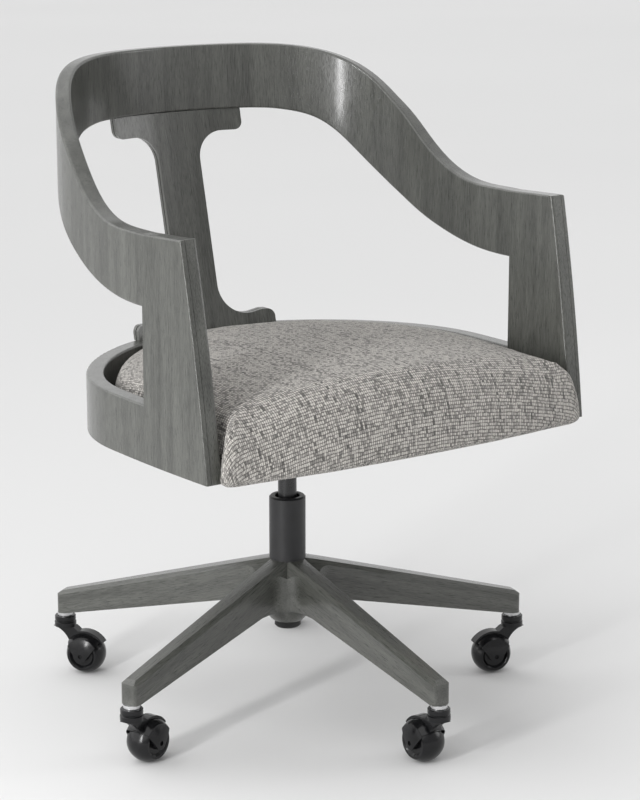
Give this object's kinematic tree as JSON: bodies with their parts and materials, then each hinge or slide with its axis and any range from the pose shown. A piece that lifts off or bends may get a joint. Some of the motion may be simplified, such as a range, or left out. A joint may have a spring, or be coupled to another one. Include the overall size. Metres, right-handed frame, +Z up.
{
  "type": "swivel office chair",
  "caption": "Swivel office chair with a bent wooden crest flowing into arms, a padded seat in an upright apron, a gas column and a star base on hooded ball casters.",
  "frame": {"origin": "on the floor, on the column's axis", "axes": "+Z up, -Y the way the sitter faces, +X to the sitter's left"},
  "size_m": [0.6311, 0.6077, 0.823],
  "materials": {
    "stained_oak": "charcoal-stained open-grain oak, satin",
    "bare_wood": "unfinished plywood and beech",
    "seat_fabric": "chunky basket weave in beige and charcoal yarns",
    "black_plastic": "polished black",
    "bright_steel": "bright turned steel",
    "black_enamel": "fine satin black",
    "dark_plastic": "matt black",
    "rubber": "matt"
  },
  "bodies": {
    "base": {"base_hub": "stained_oak", "leg_1": "stained_oak", "leg_2": "stained_oak", "leg_3": "stained_oak", "leg_4": "stained_oak", "leg_5": "stained_oak", "caster_stems": "bright_steel", "outer_tube": "black_enamel", "guide_bushing": "dark_plastic", "column_cap": "dark_plastic"},
    "lift_rod": {"piston_rod": "bright_steel", "thrust_bearing": "bright_steel", "rod_clip": "bright_steel"},
    "mechanism": {"gas_cylinder": "black_enamel", "tilt_housing": "black_enamel"},
    "lever": {"height_lever": "bright_steel", "lever_grip": "dark_plastic"},
    "valve": {"release_pin": "bright_steel"},
    "seat": {"seat_plate": "black_enamel", "tilt_pin": "bright_steel", "torsion_sleeves": "rubber", "plate_bolts": "bright_steel", "seat_board": "bare_wood", "seat_cleats": "bare_wood", "cleat_screws": "bright_steel", "seat_cushion": "seat_fabric", "seat_apron": "stained_oak", "left_post": "stained_oak", "right_post": "stained_oak", "left_front_edging": "stained_oak", "right_front_edging": "stained_oak", "left_arm": "stained_oak", "right_arm": "stained_oak", "crest_rail": "stained_oak", "splat": "stained_oak", "splat_dowels": "bare_wood"},
    "caster_1": {"caster_hood_1": "black_plastic", "caster_axle_1": "bright_steel"},
    "wheel_1": {"caster_wheel_1": "black_plastic"},
    "caster_2": {"caster_hood_2": "black_plastic", "caster_axle_2": "bright_steel"},
    "wheel_2": {"caster_wheel_2": "black_plastic"},
    "caster_3": {"caster_hood_3": "black_plastic", "caster_axle_3": "bright_steel"},
    "wheel_3": {"caster_wheel_3": "black_plastic"},
    "caster_4": {"caster_hood_4": "black_plastic", "caster_axle_4": "bright_steel"},
    "wheel_4": {"caster_wheel_4": "black_plastic"},
    "caster_5": {"caster_hood_5": "black_plastic", "caster_axle_5": "bright_steel"},
    "wheel_5": {"caster_wheel_5": "black_plastic"}
  },
  "joints": [
    {"name": "seat_swivel", "type": "hinge", "parent": "base", "child": "lift_rod", "pos_m": [0, 0, 0.12], "axis": [0, 0, 1], "continuous": true},
    {"name": "seat_lift", "type": "slide", "parent": "lift_rod", "child": "mechanism", "axis": [0, 0, 1], "range_m": [0, 0.08]},
    {"name": "seat_tilt", "type": "hinge", "parent": "mechanism", "child": "seat", "pos_m": [0, -0.05, 0.382], "axis": [-1, 0, 0], "range_deg": [0, 10], "stiffness_Nm_per_rad": 120, "springref_deg": -20.05},
    {"name": "lever_lift", "type": "hinge", "parent": "mechanism", "child": "lever", "pos_m": [-0.032, 0, 0.36], "axis": [0, 1, 0], "range_deg": [0, 6], "stiffness_Nm_per_rad": 2, "springref_deg": -11.46},
    {"name": "valve_press", "type": "slide", "parent": "mechanism", "child": "valve", "axis": [0, 0, -1], "range_m": [0, 0.0034]},
    {"name": "caster_swivel_1", "type": "hinge", "parent": "base", "child": "caster_1", "pos_m": [0.18292, 0.25645, 0.07], "axis": [0, 0, 1], "continuous": true},
    {"name": "wheel_spin_1", "type": "hinge", "parent": "caster_1", "child": "wheel_1", "pos_m": [0.16579, 0.23243, 0.0265], "axis": [0.8141, -0.5807, 0], "continuous": true},
    {"name": "caster_swivel_2", "type": "hinge", "parent": "base", "child": "caster_2", "pos_m": [-0.18737, 0.25322, 0.07], "axis": [0, 0, 1], "continuous": true},
    {"name": "wheel_spin_2", "type": "hinge", "parent": "caster_2", "child": "wheel_2", "pos_m": [-0.16982, 0.2295, 0.0265], "axis": [0.8039, 0.5948, 0], "continuous": true},
    {"name": "caster_swivel_3", "type": "hinge", "parent": "base", "child": "caster_3", "pos_m": [-0.29872, -0.09995, 0.07], "axis": [0, 0, 1], "continuous": true},
    {"name": "wheel_spin_3", "type": "hinge", "parent": "caster_3", "child": "wheel_3", "pos_m": [-0.27075, -0.09059, 0.0265], "axis": [-0.3173, 0.9483, 0], "continuous": true},
    {"name": "caster_swivel_4", "type": "hinge", "parent": "base", "child": "caster_4", "pos_m": [0.00275, -0.31499, 0.07], "axis": [0, 0, 1], "continuous": true},
    {"name": "wheel_spin_4", "type": "hinge", "parent": "caster_4", "child": "wheel_4", "pos_m": [0.00249, -0.28549, 0.0265], "axis": [-1, -0.0087, 0], "continuous": true},
    {"name": "caster_swivel_5", "type": "hinge", "parent": "base", "child": "caster_5", "pos_m": [0.30042, -0.09472, 0.07], "axis": [0, 0, 1], "continuous": true},
    {"name": "wheel_spin_5", "type": "hinge", "parent": "caster_5", "child": "wheel_5", "pos_m": [0.27229, -0.08585, 0.0265], "axis": [-0.3007, -0.9537, 0], "continuous": true}
  ],
  "couplings": [
    {"joint": "valve_press", "follows": "lever_lift", "m_per_rad": 0.032}
  ]
}
